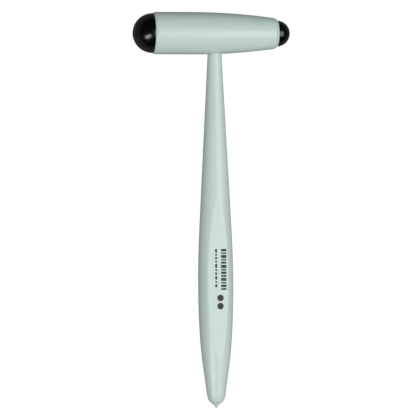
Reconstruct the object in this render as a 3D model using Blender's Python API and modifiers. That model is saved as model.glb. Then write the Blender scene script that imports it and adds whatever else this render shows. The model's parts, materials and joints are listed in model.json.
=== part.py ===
"""Two-headed percussion (reflex) hammer: a weighted barrel head with a push-in rubber bumper
in each end, on a flattened two-shell grip that ends in a small stroking point.

Sizes are in millimetres and become metres as the meshes are made. The head's axis is X, the
handle runs towards -Y, and the flat print panel of the grip faces +Z. The whole hammer hangs
from one empty, which lays it down as it rests on a table: the barrel and the back of the grip
touch Z = 0, and the origin is under the middle of its outline.
"""

import math
from collections import namedtuple

import bmesh
import bpy
from mathutils import Vector
from mathutils.geometry import interpolate_bezier

MM = 0.001
GAP = 0.3  # clearance between pieces that touch
ROUND_STEPS = 40  # facets around the large turned pieces
FINE_STEPS = 24  # facets around pins, studs and screws
MERGE = 0.00001  # metres, welds the poles of turned pieces
OVERCUT = 1.0  # how far a cutter runs past the face it opens

# Head, along X from the handle's axis
HEAD_RADIUS = 12.8
LARGE_END = -37.7  # end face of the barrel under the large bumper
SMALL_END = 37.1  # end face of the barrel at the small bumper
TAPER_START = -13.2  # where the cylinder turns into the long curved taper
TAPER_RADIUS = 367.0
TAPER_STEPS = 7
SHOULDER_RADIUS = 0.6
SHOULDER_ANGLE = math.radians(60)
RIM_RADIUS = 3.2
RIM_ANGLE = math.radians(39)
CAVITY_RADIUS = 9.0
CAVITY_END = 16.5  # step against which the weight is pushed home
COUNTERBORE_RADIUS = 11.3
COUNTERBORE_DEPTH = 2.3
SMALL_BORE_RADIUS = 6.3
SMALL_SLEEVE = 12.6  # length of the small bush's sleeve
LIP_ROOT_RADIUS = 9.1  # the lip is chamfered from the barrel's radius to the dome's
LIP_RADIUS = 8.25
LIP_THICKNESS = 1.2
WEIGHT_CHAMFER = 0.8

# Bumpers: a rubber dome over a stud, whose disc is held under so much rubber cover and whose
# stem reaches back past the dome's centre
Bumper = namedtuple("Bumper", "dome centre base stem disc disc_thickness cover reach")
LARGE_CENTRE = -38.0
LARGE_BASE = LARGE_CENTRE - LARGE_END + GAP
LARGE = Bumper(12.05, LARGE_CENTRE, LARGE_BASE, 4.7, 7.0, 2.0, 4.0, 13.0)
SMALL_CENTRE = 38.5
SMALL_BASE = SMALL_END + LIP_THICKNESS + 2 * GAP - SMALL_CENTRE
SMALL = Bumper(7.9, SMALL_CENTRE, SMALL_BASE, 3.3, 4.5, 1.4, 2.5, 8.8)
STEM_CHAMFER = 0.7

# Core rod and its fastenings
ROD_RADIUS = 2.5
ROD_TOP = -6.5  # handle station of the rod's upper end, inside the head
ROD_END = 149.4
ROD_CHAMFER = 0.5
SCREW_RADIUS = 2.2
SCREW_POINT_RADIUS = 1.1
SCREW_START = -15.5
HEX_FLAT_RADIUS = 1.25
HEX_DEPTH = 3.0
ANCHOR_RADIUS = 5.7
ANCHOR_SPAN = (136.3, 149.7)
PIN_RADIUS = 1.2
PIN_LENGTH = 10.6
PIN_CHAMFER = 0.25

# Grip outline: (station, half-width) knots, stations measured down the handle from the head's
# axis, and the two control handles of each curve that joins them
NECK_START = (11.5, 4.15)
TAPER_END = (118.0, 9.76)
BELLY_HANDLES = ((130.0, 10.38), (138.0, 10.66))
BELLY = (150.0, 10.66)
LOWER_HANDLES = ((165.0, 10.66), (184.0, 10.31))
LOWER = (200.0, 8.14)
BUTT = (218.0, 5.7)
BUTT_HANDLES = ((221.9, 5.17), (224.2, 4.1))
BUTT_END = (224.6, 0.0)
FLAT_HALF = 7.95  # the flat panels' distance from the handle's axis
OVAL = 0.907  # depth over width of the grip's section
OVAL_SPAN = (45.0, 105.0)  # where the round neck eases into the oval
NECK_POINTS = 12
BELLY_POINTS = 5
LOWER_POINTS = 9
BUTT_LINE_POINTS = 4
BUTT_POINTS = 9
SECTION_POINTS = 19
SEAM_SINE_LIMIT = 0.9  # keeps the seam's gap on the section where the butt runs out
SHARP_ANGLE = math.radians(35)

# Hollows of the grip: stations, and half-depths as a share of the full hollow's
WALL = 2.2
UPPER_HOLLOW = ((76.0, 0.72), (108.0, 1.0), (132.0, 1.0))
LOWER_HOLLOW = ((154.0, 1.0), (188.0, 1.0), (203.0, 0.6))
HOLLOW_WIDEN = 1.3  # width over depth

# Stroking point
TIP_END = 226.85
TIP_RADIUS = 1.75
TIP_BASE = 224.1
TIP_NOSE = 0.25
TIP_COLLAR = (214.3, 217.3, 3.0)
TIP_STEM_START = 212.3

COLOURS = {
    "mint_plastic": ((0.53, 0.66, 0.61), 0.35, 0.0),
    "black_rubber": ((0.012, 0.012, 0.013), 0.45, 0.0),
    "steel": ((0.55, 0.56, 0.57), 0.32, 1.0),
    "white_nylon": ((0.80, 0.79, 0.74), 0.5, 0.0),
}

# Rotations that lay a piece turned about its own Z along the head or the handle
ALONG_HEAD = (0, math.radians(90), 0)
AGAINST_HEAD = (0, math.radians(-90), 0)
ALONG_HANDLE = (math.radians(-90), 0, 0)
ALONG_HANDLE_FRONT = (math.radians(90), 0, math.radians(180))


def smoothstep(value, span):
    """0 before the span, 1 after it, and a smooth ease between."""
    u = min(max((value - span[0]) / (span[1] - span[0]), 0.0), 1.0)
    return u * u * (3 - 2 * u)


def bezier(start, handle_a, handle_b, end, count):
    """Points along one cubic, as (station, half-width) pairs."""
    corners = [Vector((*p, 0)) for p in (start, handle_a, handle_b, end)]
    return [(p.x, p.y) for p in interpolate_bezier(*corners, count)]


def line(start, end, count):
    """Evenly spaced points from start to end."""
    share = [i / (count - 1) for i in range(count)]
    return [tuple(a + (b - a) * s for a, b in zip(start, end)) for s in share]


def arc(centre, radius, start, end, count):
    """Points of a circular arc, as (radius from the axis, height) pairs, angles in radians."""
    angles = [start + (end - start) * i / (count - 1) for i in range(count)]
    return [(centre[0] + radius * math.cos(a), centre[1] + radius * math.sin(a)) for a in angles]


def grip_outline():
    """The grip's half-width down the handle, from inside the head's saddle to the butt."""
    neck = line(NECK_START, TAPER_END, NECK_POINTS)
    belly = bezier(TAPER_END, *BELLY_HANDLES, BELLY, BELLY_POINTS)
    lower = bezier(BELLY, *LOWER_HANDLES, LOWER, LOWER_POINTS)
    taper = line(LOWER, BUTT, BUTT_LINE_POINTS)
    butt = bezier(BUTT, *BUTT_HANDLES, BUTT_END, BUTT_POINTS)
    return neck + belly[1:] + lower[1:] + taper[1:] + butt[1:-1]


def depth_ratio(station):
    """Depth over width at a station, from the round neck to the oval grip."""
    return 1 + (OVAL - 1) * smoothstep(station, OVAL_SPAN)


def rest_pitch():
    """The tilt at which the barrel and the back of the grip both touch the table."""
    belly = [(t, a) for t, a in grip_outline() if t > TAPER_END[0]]
    back = [(t, min(a * depth_ratio(t), FLAT_HALF)) for t, a in belly]
    return min(math.asin(HEAD_RADIUS / math.hypot(t, d)) - math.atan2(d, t) for t, d in back)


def clear_scene():
    for item in list(bpy.data.objects):
        bpy.data.objects.remove(item, do_unlink=True)


def new_collection(name):
    collection = bpy.data.collections.new(name)
    bpy.context.scene.collection.children.link(collection)
    return collection


def new_material(name):
    colour, roughness, metallic = COLOURS[name]
    material = bpy.data.materials.new(name)
    material.use_nodes = True
    shader = material.node_tree.nodes["Principled BSDF"]
    shader.inputs["Base Color"].default_value = (*colour, 1)
    shader.inputs["Roughness"].default_value = roughness
    shader.inputs["Metallic"].default_value = metallic
    return material


class Workshop:
    """Places finished meshes as parts or as cutters under the hammer's empty."""

    def __init__(self):
        self.parts = new_collection("reflex_hammer")
        self.tools = new_collection("cutters")
        self.frame = bpy.data.objects.new("hammer_frame", None)
        self.parts.objects.link(self.frame)
        pitch = rest_pitch()
        tips = (LARGE.centre - LARGE.dome, SMALL.centre + SMALL.dome)
        middle_y = (HEAD_RADIUS - TIP_END * math.cos(pitch)) / 2
        self.frame.location = Vector((-sum(tips) / 2, -middle_y, HEAD_RADIUS)) * MM
        self.frame.rotation_euler = (pitch, 0, 0)

    def place(self, mesh, name, rotation, position=(0, 0, 0), material=None):
        piece = bpy.data.objects.new(name, mesh)
        piece.parent = self.frame
        piece.rotation_euler = rotation
        piece.location = Vector(position) * MM
        if material:
            self.parts.objects.link(piece)
            mesh.materials.append(new_material(material))
        else:
            self.tools.objects.link(piece)
            piece.hide_render = True
            piece.display_type = "WIRE"
        return piece

    def turned(self, name, profile, rotation, steps, material=None, closed=False, **place):
        """A piece turned about its own Z from (radius, height) points, outer side first, downwards."""
        mesh = bpy.data.meshes.new(name)
        count = len(profile)
        edges = [(i, i + 1) for i in range(count - 1)]
        if closed:
            edges.append((count - 1, 0))
        mesh.from_pydata([(r * MM, 0, z * MM) for r, z in profile], edges, [])
        piece = self.place(mesh, name, rotation, material=material, **place)
        screw = piece.modifiers.new("turn", "SCREW")
        screw.steps = steps
        screw.render_steps = steps
        screw.use_merge_vertices = True
        screw.merge_threshold = MERGE
        screw.use_smooth_shade = True
        return piece

    def cylinder(self, name, radius, low, high, rotation, steps, **place):
        """A plain round cutter or pin along its own Z, between two heights."""
        profile = [(0, high), (radius, high), (radius, low), (0, low)]
        return self.turned(name, profile, rotation, steps, **place)

    def loft(self, name, rings, rotation, material):
        """A closed skin over rings of equal point counts, capped at both ends."""
        mesh = bpy.data.meshes.new(name)
        grid = bmesh.new()
        loops = [[grid.verts.new(point) for point in ring] for ring in rings]
        count = len(rings[0])
        for upper, lower in zip(loops, loops[1:]):
            for i in range(count):
                j = (i + 1) % count
                grid.faces.new((upper[i], upper[j], lower[j], lower[i]))
        grid.faces.new(loops[0])
        grid.faces.new(loops[-1])
        bmesh.ops.recalc_face_normals(grid, faces=grid.faces)
        grid.to_mesh(mesh)
        grid.free()
        mesh.shade_smooth()
        mesh.set_sharp_from_angle(angle=SHARP_ANGLE)
        return self.place(mesh, name, rotation, material=material)


def cut(piece, *tools):
    """Boolean differences, one for each tool."""
    for tool in tools:
        boolean = piece.modifiers.new(f"cut_{tool.name}", "BOOLEAN")
        boolean.operation = "DIFFERENCE"
        boolean.solver = "EXACT"
        boolean.object = tool


def chamfered(radius, low, high, chamfer):
    """A solid bar's profile with both ends chamfered."""
    return [
        (0, high),
        (radius - chamfer, high),
        (radius, high - chamfer),
        (radius, low + chamfer),
        (radius - chamfer, low),
        (0, low),
    ]


def head_barrel(shop):
    """Tapered shell, open at both ends, with a port for the core rod in its underside."""
    shoulder_height = SMALL_END - SHOULDER_RADIUS * math.sin(SHOULDER_ANGLE)
    drop = (shoulder_height - TAPER_START) ** 2 / (2 * TAPER_RADIUS)
    shoulder_centre = (HEAD_RADIUS - drop - SHOULDER_RADIUS, shoulder_height)
    rim_height = LARGE_END + RIM_RADIUS * math.sin(RIM_ANGLE)
    shoulder = arc(shoulder_centre, SHOULDER_RADIUS, SHOULDER_ANGLE, 0, 5)
    span = shoulder_height - TAPER_START
    runs = [span * i / TAPER_STEPS for i in reversed(range(TAPER_STEPS))]
    taper = [(HEAD_RADIUS - run**2 / (2 * TAPER_RADIUS), TAPER_START + run) for run in runs]
    rim = arc((HEAD_RADIUS - RIM_RADIUS, rim_height), RIM_RADIUS, 0, -RIM_ANGLE, 4)
    inside = [
        (COUNTERBORE_RADIUS, LARGE_END),
        (COUNTERBORE_RADIUS, LARGE_END + COUNTERBORE_DEPTH),
        (CAVITY_RADIUS, LARGE_END + COUNTERBORE_DEPTH),
        (CAVITY_RADIUS, CAVITY_END),
        (SMALL_BORE_RADIUS, CAVITY_END),
        (SMALL_BORE_RADIUS, SMALL_END),
    ]
    profile = shoulder + taper + rim + inside
    barrel = shop.turned(
        "head_barrel", profile, ALONG_HEAD, ROUND_STEPS, "mint_plastic", closed=True
    )
    port_span = (-HEAD_RADIUS - OVERCUT, -CAVITY_RADIUS + OVERCUT)
    port = shop.cylinder(
        "port_cutter", ROD_RADIUS + GAP, *port_span, ALONG_HANDLE, FINE_STEPS
    )
    cut(barrel, port)


def head_weight(shop):
    """Steel slug that loads the head, drilled for the rod and its locking screw."""
    half = CAVITY_END - GAP
    radius = CAVITY_RADIUS - GAP
    profile = chamfered(radius, -half, half, WEIGHT_CHAMFER)
    slug = shop.turned("head_weight", profile, ALONG_HEAD, ROUND_STEPS, "steel")
    rod_hole = shop.cylinder(
        "rod_hole_cutter", ROD_RADIUS + GAP, -HEAD_RADIUS, -ROD_TOP + GAP, ALONG_HANDLE, FINE_STEPS
    )
    screw_span = (-half - OVERCUT, -ROD_RADIUS)
    screw_hole = shop.cylinder(
        "screw_hole_cutter", SCREW_RADIUS + GAP, *screw_span, ALONG_HEAD, FINE_STEPS
    )
    cut(slug, rod_hole, screw_hole)


def end_bushes(shop):
    """Moulded bushes that line the two ends and grip the bumpers' studs."""
    flange = LARGE_END + COUNTERBORE_DEPTH - GAP
    sleeve = CAVITY_RADIUS - GAP
    bore = LARGE.stem + GAP
    large = [
        (sleeve, -CAVITY_END),
        (sleeve, flange),
        (COUNTERBORE_RADIUS - GAP, flange),
        (COUNTERBORE_RADIUS - GAP, LARGE_END),
        (bore, LARGE_END),
        (bore, -CAVITY_END),
    ]
    shop.turned("large_end_bush", large, ALONG_HEAD, ROUND_STEPS, "mint_plastic", closed=True)
    lip = SMALL_END + GAP
    sleeve = SMALL_BORE_RADIUS - GAP
    bore = SMALL.stem + GAP
    small = [
        (bore, lip + LIP_THICKNESS),
        (LIP_RADIUS, lip + LIP_THICKNESS),
        (LIP_ROOT_RADIUS, lip),
        (sleeve, lip),
        (sleeve, SMALL_END - SMALL_SLEEVE),
        (bore, SMALL_END - SMALL_SLEEVE),
    ]
    shop.turned("small_end_bush", small, ALONG_HEAD, ROUND_STEPS, "mint_plastic", closed=True)


def bumper(shop, name, size, rotation):
    """A rubber dome moulded over a stud whose stem pushes into the end bush.

    Heights run outwards from the dome's centre; size.base is that of its flat underside.
    """
    dome = arc((0, 0), size.dome, math.pi / 2, math.asin(size.base / size.dome), 12)
    ceiling = size.dome - size.cover
    floor = ceiling - size.disc_thickness - 2 * GAP
    rubber = [
        (0, size.dome),
        *dome[1:],
        (size.stem + GAP, size.base),
        (size.stem + GAP, floor),
        (size.disc + GAP, floor),
        (size.disc + GAP, ceiling),
        (0, ceiling),
    ]
    position = (size.centre, 0, 0)
    shop.turned(name, rubber, rotation, ROUND_STEPS, "black_rubber", position=position)
    stud = [
        (0, ceiling - GAP),
        (size.disc, ceiling - GAP),
        (size.disc, floor + GAP),
        (size.stem, floor + GAP),
        (size.stem, STEM_CHAMFER - size.reach),
        (size.stem - STEM_CHAMFER, -size.reach),
        (0, -size.reach),
    ]
    shop.turned(f"{name}_stud", stud, rotation, FINE_STEPS, "white_nylon", position=position)


def core_rod(shop):
    """Steel rod from the head's weight down the neck into the grip, cross-drilled at its end."""
    bar = chamfered(ROD_RADIUS, -ROD_END, -ROD_TOP, ROD_CHAMFER)
    rod = shop.turned("core_rod", bar, ALONG_HANDLE, FINE_STEPS, "steel")
    anchor_profile = [
        (ANCHOR_RADIUS, -ANCHOR_SPAN[0]),
        (ANCHOR_RADIUS, -ANCHOR_SPAN[1]),
        (ROD_RADIUS + GAP, -ANCHOR_SPAN[1]),
        (ROD_RADIUS + GAP, -ANCHOR_SPAN[0]),
    ]
    anchor = shop.turned(
        "rod_anchor", anchor_profile, ALONG_HANDLE, FINE_STEPS, "white_nylon", closed=True
    )
    position = (0, -sum(ANCHOR_SPAN) / 2, 0)
    hole = chamfered(PIN_RADIUS + GAP, -PIN_LENGTH, PIN_LENGTH, PIN_CHAMFER)
    pin_hole = shop.turned("pin_hole_cutter", hole, ALONG_HEAD, FINE_STEPS, position=position)
    cut(rod, pin_hole)
    cut(anchor, pin_hole)
    pin = chamfered(PIN_RADIUS, -PIN_LENGTH / 2, PIN_LENGTH / 2, PIN_CHAMFER)
    shop.turned("anchor_pin", pin, ALONG_HEAD, FINE_STEPS, "steel", position=position)


def rod_grub_screw(shop):
    """Socket screw in the weight that bears on the rod, reached through the large end bush."""
    tip = -ROD_RADIUS - GAP
    profile = [
        (0, tip),
        (SCREW_POINT_RADIUS, tip),
        (SCREW_RADIUS, tip + SCREW_POINT_RADIUS - SCREW_RADIUS),
        (SCREW_RADIUS, SCREW_START),
        (0, SCREW_START),
    ]
    screw = shop.turned("rod_grub_screw", profile, ALONG_HEAD, FINE_STEPS, "steel")
    corner = HEX_FLAT_RADIUS / math.cos(math.pi / 6)
    hex_span = (SCREW_START - OVERCUT, SCREW_START + HEX_DEPTH)
    hexagon = shop.cylinder("hex_cutter", corner, *hex_span, ALONG_HEAD, 6)
    cut(screw, hexagon)


def half_section(station, half_width):
    """The back half of the grip's section at a station, cut by the flat panel and the seam."""
    depth = half_width * depth_ratio(station)
    start = math.asin(min(GAP / 2 / depth, SEAM_SINE_LIMIT))
    ring = []
    for i in range(SECTION_POINTS):
        angle = start + (math.pi - 2 * start) * i / (SECTION_POINTS - 1)
        height = min(depth * math.sin(angle), FLAT_HALF)
        ring.append(Vector((half_width * math.cos(angle), height, -station)) * MM)
    return ring


def grip_hollows(shop):
    """Cutters for the hollows, the anchor's pocket, the rod's bore and the point's seat."""
    hollows = []
    for name, outline in (("upper", UPPER_HOLLOW), ("lower", LOWER_HOLLOW)):
        side = [((FLAT_HALF - WALL) * share, -station) for station, share in outline]
        profile = [(0, side[0][1]), *side, (0, side[-1][1])]
        hollow = shop.turned(f"{name}_hollow_cutter", profile, ALONG_HANDLE, FINE_STEPS)
        hollow.scale = (HOLLOW_WIDEN, 1, 1)
        hollows.append(hollow)
    collar_start, collar_end, collar_radius = TIP_COLLAR
    seat = [
        (0, GAP - TIP_STEM_START),
        (TIP_RADIUS + GAP, GAP - TIP_STEM_START),
        (TIP_RADIUS + GAP, GAP - collar_start),
        (collar_radius + GAP, GAP - collar_start),
        (collar_radius + GAP, -GAP - collar_end),
        (TIP_RADIUS + GAP, -GAP - collar_end),
        (TIP_RADIUS + GAP, -TIP_END),
        (0, -TIP_END),
    ]
    pocket = (-ANCHOR_SPAN[1] - GAP, -ANCHOR_SPAN[0] + GAP)
    return hollows + [
        shop.cylinder("rod_bore_cutter", ROD_RADIUS + GAP, -ROD_END, 0, ALONG_HANDLE, FINE_STEPS),
        shop.cylinder(
            "anchor_pocket_cutter", ANCHOR_RADIUS + GAP, *pocket, ALONG_HANDLE, FINE_STEPS
        ),
        shop.turned("tip_seat_cutter", seat, ALONG_HANDLE, FINE_STEPS),
    ]


def grip_shells(shop):
    """Two matching half shells, saddled to the barrel at the neck and parted on the side seam."""
    rings = [half_section(t, a) for t, a in grip_outline()]
    saddle = shop.cylinder(
        "saddle_cutter", HEAD_RADIUS + GAP, LARGE_END, SMALL_END, ALONG_HEAD, 2 * ROUND_STEPS
    )
    hollows = grip_hollows(shop)
    for name, rotation in (
        ("grip_back_shell", ALONG_HANDLE),
        ("grip_front_shell", ALONG_HANDLE_FRONT),
    ):
        shell = shop.loft(name, rings, rotation, "mint_plastic")
        cut(shell, saddle, *hollows)


def point_tip(shop):
    """Hard stroking point: a cone on a stem whose collar is trapped between the shells."""
    collar_start, collar_end, collar_radius = TIP_COLLAR
    nose = arc((0, TIP_NOSE - TIP_END), TIP_NOSE, -math.pi / 6, -math.pi / 2, 4)
    profile = [
        (0, -TIP_STEM_START),
        (TIP_RADIUS, -TIP_STEM_START),
        (TIP_RADIUS, -collar_start),
        (collar_radius, -collar_start),
        (collar_radius, -collar_end),
        (TIP_RADIUS, -collar_end),
        (TIP_RADIUS, -TIP_BASE),
    ]
    profile += nose[:-1] + [(0, -TIP_END)]
    shop.turned("point_tip", profile, ALONG_HANDLE, FINE_STEPS, "mint_plastic")


def main():
    clear_scene()
    shop = Workshop()
    head_barrel(shop)
    head_weight(shop)
    end_bushes(shop)
    bumper(shop, "large_bumper", LARGE, AGAINST_HEAD)
    bumper(shop, "small_bumper", SMALL, ALONG_HEAD)
    core_rod(shop)
    rod_grub_screw(shop)
    grip_shells(shop)
    point_tip(shop)


main()
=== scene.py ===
"""Reflex hammer: fine surfaces and finishes for a weighted barrel head on a two-shell grip.

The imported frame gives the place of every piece. Shapes are worked out in the hammer's own
frame, in millimetres: the head's axis is X, the handle runs towards -Y, and the flat panel of
the grip faces +Z. Each mesh is then laid down with the hammer, which rests on its back.
"""

import json
import math

import bmesh
import bpy
from bpy.props import FloatProperty, FloatVectorProperty, IntProperty, PointerProperty
from mathutils import Matrix, Vector, geometry


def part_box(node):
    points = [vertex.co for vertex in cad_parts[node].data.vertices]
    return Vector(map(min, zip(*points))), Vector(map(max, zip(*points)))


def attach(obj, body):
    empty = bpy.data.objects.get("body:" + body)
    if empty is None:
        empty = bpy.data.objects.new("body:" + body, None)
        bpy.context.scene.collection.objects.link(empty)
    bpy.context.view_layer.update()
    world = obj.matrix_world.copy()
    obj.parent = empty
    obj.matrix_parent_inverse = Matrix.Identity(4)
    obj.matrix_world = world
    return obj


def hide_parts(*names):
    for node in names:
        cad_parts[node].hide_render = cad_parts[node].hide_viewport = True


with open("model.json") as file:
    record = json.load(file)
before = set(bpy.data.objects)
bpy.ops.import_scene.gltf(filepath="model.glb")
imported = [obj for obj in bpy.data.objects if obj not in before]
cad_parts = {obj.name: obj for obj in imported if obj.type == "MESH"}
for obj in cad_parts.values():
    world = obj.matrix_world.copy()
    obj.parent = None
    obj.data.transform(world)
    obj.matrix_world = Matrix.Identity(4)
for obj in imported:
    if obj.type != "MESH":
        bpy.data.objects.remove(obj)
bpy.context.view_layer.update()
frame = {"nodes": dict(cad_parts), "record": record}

bl_info = {
    "name": "Reflex Hammer",
    "version": (1, 0, 0),
    "blender": (4, 5, 0),
    "location": "View3D > Sidebar > Hammer",
    "description": "Builds the fine surfaces, finishes and stage of a two-headed reflex hammer",
    "category": "Object",
}

MM = 0.001
CUT_WELD = 0.002 * MM  # joins the near-coincident points that a cut leaves
SHARP_ANGLE = math.radians(40)

# Barrel of the head, along X
HEAD_RADIUS = 12.8
LARGE_END = -37.7
SMALL_END = 37.1
TAPER_START = -13.2
TAPER_RADIUS = 367.0
TAPER_STEPS = 48
STRAIGHT_STEPS = 12
SHOULDER_RADIUS = 0.6
SHOULDER_ANGLE = math.radians(60)
RIM_RADIUS = 3.2
RIM_ANGLE = math.radians(39)
CAVITY_RADIUS = 9.0
CAVITY_END = 16.5
COUNTERBORE_RADIUS = 11.3
COUNTERBORE_DEPTH = 2.3
SMALL_BORE_RADIUS = 6.3
PORT_RADIUS = 2.8
PORT_SPAN = (-8.0, -14.0)
PORT_FACETS = 48

# Bushes in the barrel's ends
BUSH_SLEEVE = 8.7
BUSH_FLANGE = 11.25
SMALL_SLEEVE = 12.6
SMALL_SLEEVE_RADIUS = 6.0
LIP_ROOT_RADIUS = 9.1
LIP_RADIUS = 8.2
LIP_END = 38.6

# Bumpers: centre along X, then from that centre the dome's radius, its underside, the stud's
# stem and disc radii, the disc's span, the stem's reach, and its core's radius and rib count
LARGE_BUMPER = {
    "centre": -38.0, "dome": 12.05, "base": -0.24, "stem": 4.7, "disc": 7.0,
    "disc_top": 7.75, "disc_low": 5.75, "reach": 13.0, "core": 2.2, "ribs": 5,
}
SMALL_BUMPER = {
    "centre": 38.5, "dome": 7.9, "base": 0.16, "stem": 3.3, "disc": 4.5,
    "disc_top": 5.1, "disc_low": 3.7, "reach": 8.8, "core": 1.4, "ribs": 4,
}
RUBBER_GAP = 0.12
RIB_HEIGHT = 0.22
BORE_PLAY = 0.2
SKIRT_ROUND = 0.22
SEAT_MOUTH = 0.9
SEAT_FLOOR = 0.6
SEAT_DEPTH = 0.35
DOME_STEPS = 44

# Grip: outline knots as (station down the handle, half-width), with Bezier handles between
NECK_START = (11.5, 4.15)
TAPER_END = (118.0, 9.76)
BELLY_CURVE = (TAPER_END, (130.0, 10.38), (138.0, 10.66), (150.0, 10.66))
LOWER_CURVE = ((150.0, 10.66), (165.0, 10.66), (184.0, 10.31), (200.0, 8.14))
BUTT_LINE = ((200.0, 8.14), (218.0, 5.7))
BUTT_CURVE = ((218.0, 5.7), (221.9, 5.17), (224.2, 4.1), (224.6, 0.0))
BUTT_OPENING = 2.3
FLAT_HALF = 7.95
FLAT_BLEND = 0.2
FLAT_SINE_LIMIT = 0.985
SEAM_SINE_LIMIT = 0.9
FLAT_EDGE_BAND = 0.045
FLAT_EDGE_STEPS = (-0.026, -0.012, 0.0, 0.012, 0.026)
SIDE_STEPS = 13
SIDE_CROWDING = 1.35
FLAT_STEPS = 6
OVAL = 0.907
OVAL_SPAN = (45.0, 105.0)
NECK_TOP = 13.0
NECK_BLEND_END = 24.0
NECK_BLEND_SHARES = (0.026, 0.06, 0.12, 0.2, 0.3, 0.42, 0.56, 0.7, 0.85)
NECK_EDGE = 0.28
INNER_OUTLINE = (
    (0.0, 2.8), (75.0, 2.8), (77.0, 4.25), (108.0, 5.75), (131.5, 5.75), (133.0, 2.8),
    (135.8, 2.8), (136.0, 6.0), (150.0, 6.0), (150.6, 2.2), (153.8, 2.2), (155.0, 5.75),
    (188.0, 5.75), (202.0, 3.6), (203.5, 1.0), (211.6, 1.0), (212.2, 2.0), (230.0, 2.0),
)

# Stroking point
TIP_END = 226.85
TIP_RADIUS = 1.75
TIP_SHOULDER = 224.75
TIP_NOSE = 0.3
TIP_SEAT = 2.2
TIP_STEM_SPAN = (212.5, 223.6)
TIP_SEAT_START = 224.4
TIP_FLARE_START = 224.5
TIP_FACETS = 64
TIP_WEAR_SPAN = (226.0, 226.8)

# Printed marks on the front panel: stations and X spans
BARS_START = 130.4
BARS_SPAN = (1.85, 5.15)
BAR_WIDTHS = (1.5, 0.9, 1.9, 0.9, 1.3, 1.9, 0.9, 1.5, 1.1, 1.9, 0.9, 1.5, 1.1)
BAR_SPACE = 0.62
DASH_START = 130.4
DASH_SPAN = (-1.75, -0.55)
DASH_LENGTHS = (2.2, 1.1, 1.5, 1.1, 2.6, 1.1, 1.5, 2.2, 1.1, 2.0)
DASH_SPACE = 0.75
DOT_STATIONS = (160.0, 164.9)
DOT_CENTRE = 1.4
DOT_RADIUS = 2.0
INK_HEIGHT = 0.02
INK_ROOT = 0.03
INK_CORNER = 0.3

# Camera, in the hammer's frame
VIEW_YAW = math.radians(10.5)
VIEW_ROLL = math.radians(0.3)
VIEW_DISTANCE = 2200.0
VIEW_FIELD = 254.1
VIEW_TARGET = (-3.28, -106.9, 0.0)
SENSOR = 36.0
CLIP_END = 20.0

# Soft lights, in metres: name, degrees across and along from overhead, size, tilt, radiance.
LIGHT_DISTANCE = 1.6
LIGHT_TARGET = (0.0, -0.09, 0.0)
LIGHT_COLOUR = (1.0, 0.965, 0.98)
LIGHTS = (
    ("window_light", 29.0, -1.0, (1.3, 1.08), 0.0, 3.6),
    ("strip_light", -35.0, -19.0, (1.0, 0.46), 20.0, 6.8),
)
# Strength of the surroundings, as plain light and in reflections, where it is dimmer so that the
# rubber stays black
AMBIENT = 0.39
AMBIENT_GLOSS = 0.01
AMBIENT_COLOUR = (0.92, 1.0, 0.97, 1.0)
FLOOR_RADIUS = 4.0
FLOOR_FACETS = 96
FLOOR_DROP = 0.0002


def hammer_frame():
    """The matrix that lays the hammer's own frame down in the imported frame."""
    panel = next(m for m in frame["record"]["mounts"] if m["name"] == "front_panel")
    pitch = math.atan2(-panel["axis"][1], panel["axis"][2])
    low, high = (Vector(corner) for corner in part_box("head_barrel"))
    rod_low, rod_high = (Vector(corner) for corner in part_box("core_rod"))
    centre = (low + high) / 2
    centre.x = (rod_low.x + rod_high.x) / 2
    return Matrix.Translation(centre) @ Matrix.Rotation(pitch, 4, "X")


HAMMER = hammer_frame()


# ---------------------------------------------------------------- outlines and meshes


def smoothstep(value, span):
    """0 before the span, 1 after it, and a smooth ease between."""
    u = min(max((value - span[0]) / (span[1] - span[0]), 0.0), 1.0)
    return u * u * (3 - 2 * u)


def bezier(corners, count):
    """Points along one cubic in the plane."""
    points = geometry.interpolate_bezier(*(Vector((*c, 0)) for c in corners), count)
    return [(p.x, p.y) for p in points]


def line(start, end, count):
    """Evenly spaced points from start to end."""
    share = [i / (count - 1) for i in range(count)]
    return [tuple(a + (b - a) * s for a, b in zip(start, end)) for s in share]


def arc(centre, radius, start, end, count):
    """Points of a circular arc as (radius from the axis, height), angles in radians."""
    angles = [start + (end - start) * i / (count - 1) for i in range(count)]
    return [(centre[0] + radius * math.cos(a), centre[1] + radius * math.sin(a)) for a in angles]


def bend(before, corner, after, radius, steps):
    """The points that round one corner of an outline to a radius."""
    into = (before - corner).normalized()
    out = (after - corner).normalized()
    half = math.acos(max(-1.0, min(1.0, into.dot(out)))) / 2
    reach = min(
        radius / math.tan(half), (before - corner).length * 0.45, (after - corner).length * 0.45
    )
    radius = reach * math.tan(half)
    centre = corner + (into + out).normalized() * radius / math.sin(half)
    start = corner + into * reach - centre
    end = corner + out * reach - centre
    turn = start.angle_signed(end)
    points = []
    for i in range(steps + 1):
        angle = -turn * i / steps
        cos, sin = math.cos(angle), math.sin(angle)
        arm = Vector((start.x * cos - start.y * sin, start.x * sin + start.y * cos))
        points.append(centre + arm)
    return points


def rounded(corners, closed=True, steps=4, guard=0.3):
    """An outline of (radius, height, wear) from (radius, height[, rounding]) corners.

    Rounded corners carry wear; a guard point each side of them keeps the flats flat.
    """
    spots = [Vector(c[:2]) for c in corners]
    radii = [c[2] if len(c) > 2 else 0.0 for c in corners]
    count = len(spots)
    runs = []
    for i, spot in enumerate(spots):
        inside = closed or 0 < i < count - 1
        if radii[i] > 0 and inside:
            points = bend(spots[i - 1], spot, spots[(i + 1) % count], radii[i], steps)
            runs.append([(p, 1.0) for p in points])
        else:
            runs.append([(spot, 0.0)])
    outline = []
    for i, run in enumerate(runs):
        outline += [(p.x, p.y, wear) for p, wear in run]
        if i == count - 1 and not closed:
            break
        start = run[-1][0]
        end = runs[(i + 1) % count][0][0]
        step = end - start
        if step.length > 3 * guard:
            for point in (start + step.normalized() * guard, end - step.normalized() * guard):
                outline.append((point.x, point.y, 0.0))
    return outline


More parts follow.
